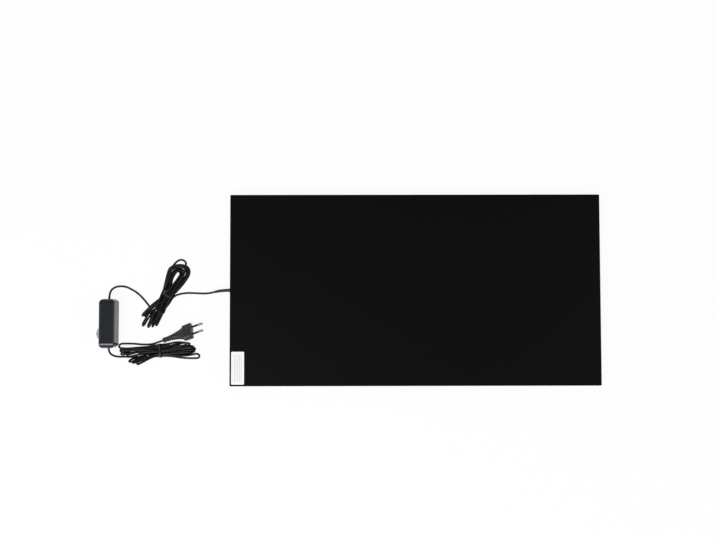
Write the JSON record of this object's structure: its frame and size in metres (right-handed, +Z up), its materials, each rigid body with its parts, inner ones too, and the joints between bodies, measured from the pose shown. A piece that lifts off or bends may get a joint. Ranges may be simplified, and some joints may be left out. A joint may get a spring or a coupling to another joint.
{
  "type": "desk heating panel",
  "caption": "Flat sheet-metal panel heater for a desk, with its mains cord tied in hanks, an in-line wheel dimmer and a moulded mains plug.",
  "frame": {"origin": "bottom centre of the panel, on the surface that it lies on", "axes": "+X along the panel away from its cord, +Y across it, +Z up out of the labelled back"},
  "size_m": [0.8418, 0.3216, 0.0303],
  "materials": {
    "casing": "satin",
    "rivet": "satin",
    "label": "matte",
    "mat": "matte",
    "heating_cable": "satin",
    "foil": "bright",
    "insulation": "matte",
    "inner_plastic": "matte",
    "inner_screw": "bright",
    "brass": "bright",
    "limiter": "matte",
    "core": "satin",
    "lead": "satin",
    "bushing": "matte",
    "cord": "satin",
    "tie": "satin",
    "dimmer_case": "semi-gloss",
    "dimmer_wheel": "satin",
    "board": "satin",
    "black_part": "matte",
    "heat_sink": "satin",
    "ferrite": "matte",
    "winding": "bright",
    "capacitor": "gloss",
    "plug": "satin",
    "pin": "bright"
  },
  "bodies": {
    "heater": {"back_pan": "casing", "face_pan": "casing", "casing_rivets": "rivet", "back_label": "label", "heating_mat": "mat", "heating_cable": "heating_cable", "reflector_foil": "foil", "insulation_board": "insulation", "wiring_plate": "inner_plastic", "cord_clamp": "inner_plastic", "cord_clamp_screws": "inner_screw", "terminal_block": "inner_plastic", "terminal_screws": "brass", "thermal_limiter": "limiter", "element_leads": "lead", "lead_splice": "brass", "cord_bushing": "bushing", "cord_tail": "cord", "cord_cores": "core", "panel_cord": "cord", "panel_cord_hank": "cord", "panel_hank_tie": "tie", "dimmer_cord": "cord", "mains_cord": "cord", "mains_cord_hank": "cord", "mains_hank_tie": "tie", "plug_cord": "cord", "dimmer_base": "dimmer_case", "dimmer_cover": "dimmer_case", "dimmer_screws": "inner_screw", "dimmer_potentiometer": "black_part", "dimmer_board": "board", "dimmer_triac": "black_part", "dimmer_heat_sink": "heat_sink", "choke_core": "ferrite", "choke_winding": "winding", "dimmer_capacitor": "capacitor", "dimmer_fuse": "black_part", "dimmer_terminals": "inner_plastic", "dimmer_cord_clamps": "black_part", "dimmer_clamp_screws": "inner_screw", "dimmer_cord_tails": "cord", "dimmer_cores": "core", "plug_body": "plug", "plug_pins": "pin", "plug_pin_sleeves": "plug", "plug_insert": "inner_plastic"},
    "wheel": {"dimmer_wheel": "dimmer_wheel", "dimmer_spindle": "dimmer_wheel"}
  },
  "joints": [
    {"name": "dimmer_turn", "type": "hinge", "parent": "heater", "child": "wheel", "pos_m": [-0.519, -0.0719, 0.021], "axis": [0, 0, 1], "range_deg": [0, 270]}
  ]
}
